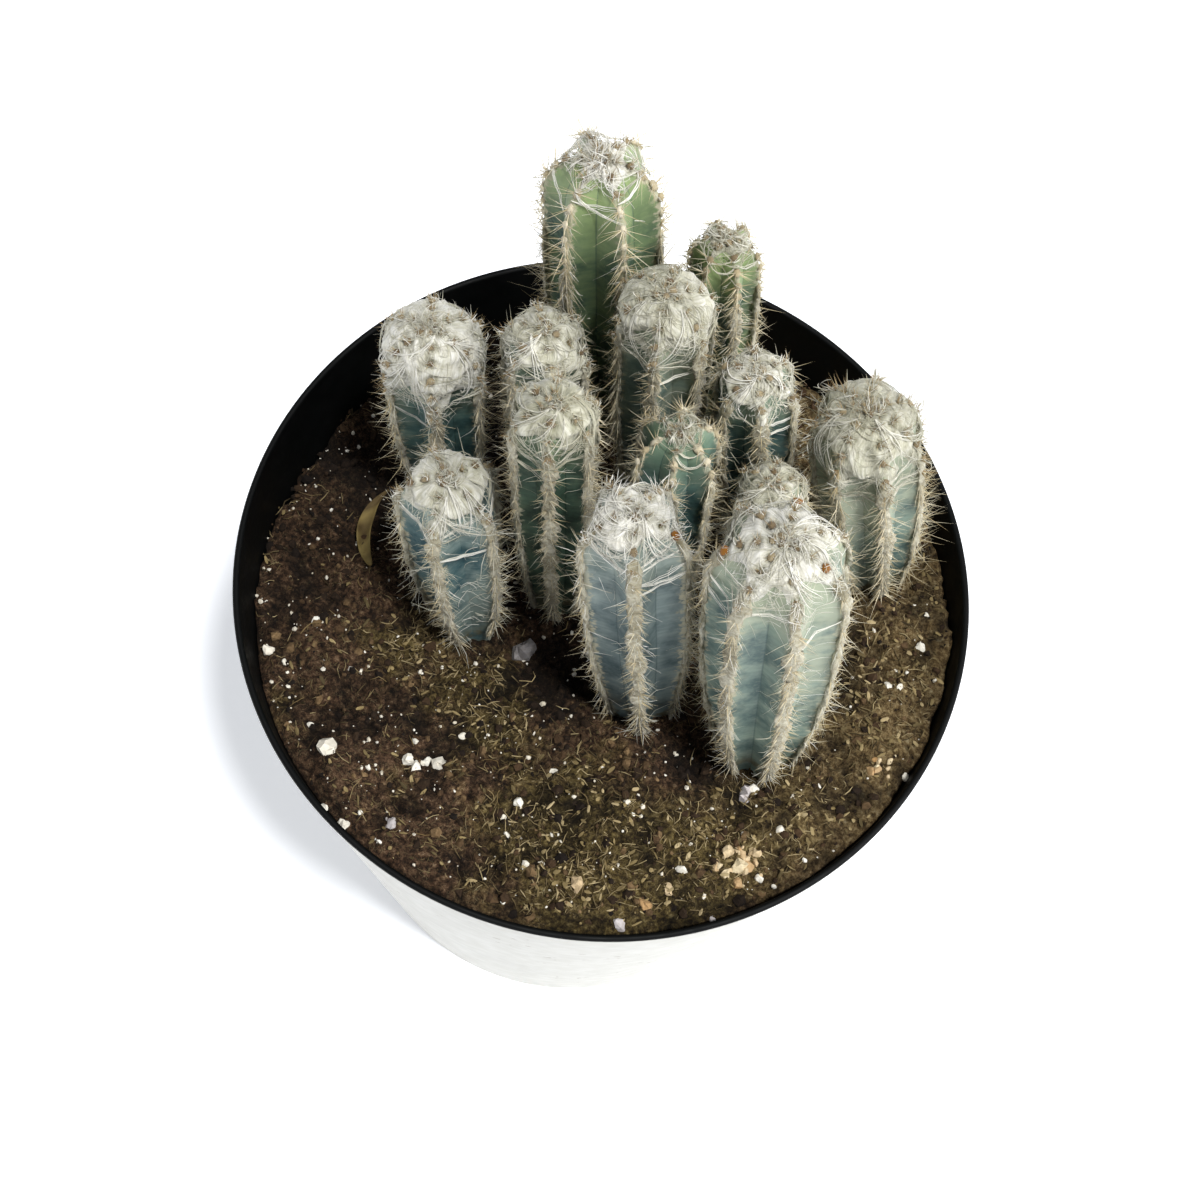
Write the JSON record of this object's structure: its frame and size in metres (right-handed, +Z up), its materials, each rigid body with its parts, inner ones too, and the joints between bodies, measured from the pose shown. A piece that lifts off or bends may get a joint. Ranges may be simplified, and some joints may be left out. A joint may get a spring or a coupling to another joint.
{
  "type": "potted blue torch cactus",
  "caption": "Clump of woolly blue-green ribbed torch cactus stems with cream spines, standing in peat soil in a tapered round white nursery pot with a black inside and lip.",
  "frame": {"origin": "centre of the ring on which the pot stands, level with the surface it stands on", "axes": "+Z up along the pot's axis, -Y towards the side that the picture is taken from, +X to the right in that view"},
  "size_m": [0.15, 0.15, 0.234],
  "materials": {
    "pot_plastic": "satin",
    "peat_soil": "matte",
    "dry_leaf_blade": "matte",
    "green_cactus_skin": "satin",
    "sage_cactus_skin": "satin",
    "blue_cactus_skin": "satin",
    "cactus_spines": "satin",
    "cactus_wool": "matte",
    "perlite": "matte"
  },
  "bodies": {
    "root": {"pot": "pot_plastic", "soil": "peat_soil", "dry_leaf": "dry_leaf_blade", "stem_tall_back": "green_cactus_skin", "stem_slim_back": "green_cactus_skin", "stem_centre_back": "sage_cactus_skin", "stem_left_back": "blue_cactus_skin", "stem_left_inner": "blue_cactus_skin", "stem_left_mid": "green_cactus_skin", "stem_left_front": "blue_cactus_skin", "stem_centre_small": "blue_cactus_skin", "stem_right_inner": "blue_cactus_skin", "stem_right": "sage_cactus_skin", "stem_right_small": "sage_cactus_skin", "stem_front_centre": "blue_cactus_skin", "stem_front_right": "sage_cactus_skin"}
  },
  "joints": []
}
